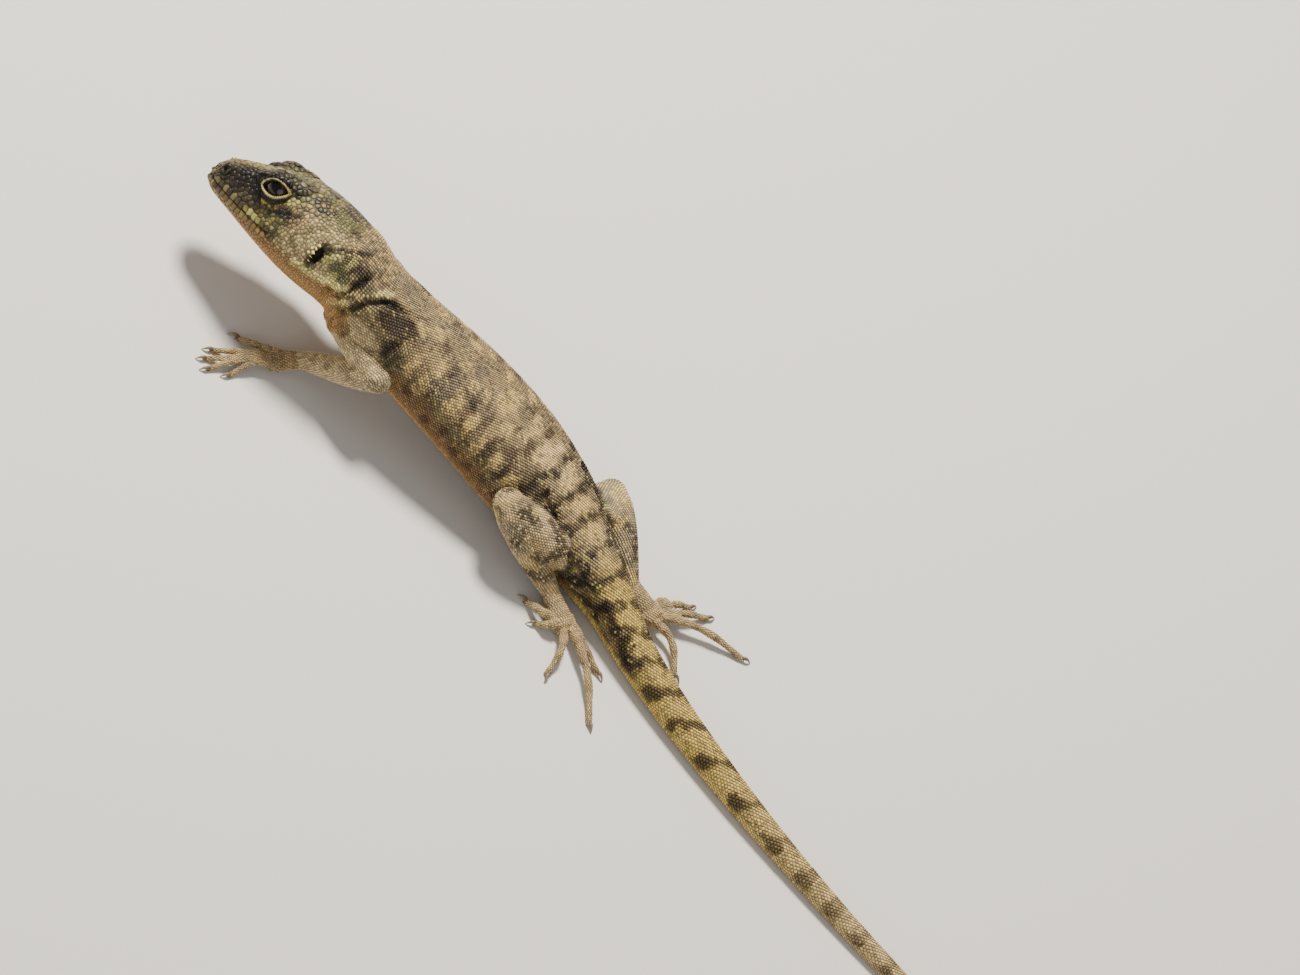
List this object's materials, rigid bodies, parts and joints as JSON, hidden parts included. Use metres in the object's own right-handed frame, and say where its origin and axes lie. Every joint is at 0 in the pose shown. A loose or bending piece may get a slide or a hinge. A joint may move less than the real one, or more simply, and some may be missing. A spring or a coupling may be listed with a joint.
{
  "type": "amazon lava lizard",
  "caption": "Life-size still model of an amazon lava lizard, lying with its front raised on its forelimbs, head lifted and tail laid out straight behind.",
  "frame": {"origin": "on the floor plane, under the middle of the animal's overall length and width", "axes": "the head points towards -X and the tail towards +X, the animal's left side faces -Y, its back faces +Z"},
  "size_m": [0.235, 0.0506, 0.0255],
  "materials": {
    "head_skin": "matte small scales",
    "eye": "wet gloss",
    "body_skin": "matte keeled scales",
    "tail_skin": "matte keeled scales in rings",
    "limb_skin": "matte keeled scales",
    "digit_skin": "matte small scales, horny claws"
  },
  "bodies": {
    "root": {"head": "head_skin", "eye_left": "eye", "eye_right": "eye", "neck": "body_skin", "torso": "body_skin", "tail_base": "tail_skin", "tail_middle": "tail_skin", "tail_end": "tail_skin", "tail_tip": "tail_skin", "upper_arm_left": "limb_skin", "forearm_left": "limb_skin", "hand_left": "digit_skin", "upper_arm_right": "limb_skin", "forearm_right": "limb_skin", "hand_right": "digit_skin", "thigh_left": "limb_skin", "shank_left": "limb_skin", "foot_left": "digit_skin", "thigh_right": "limb_skin", "shank_right": "limb_skin", "foot_right": "digit_skin"}
  },
  "joints": []
}
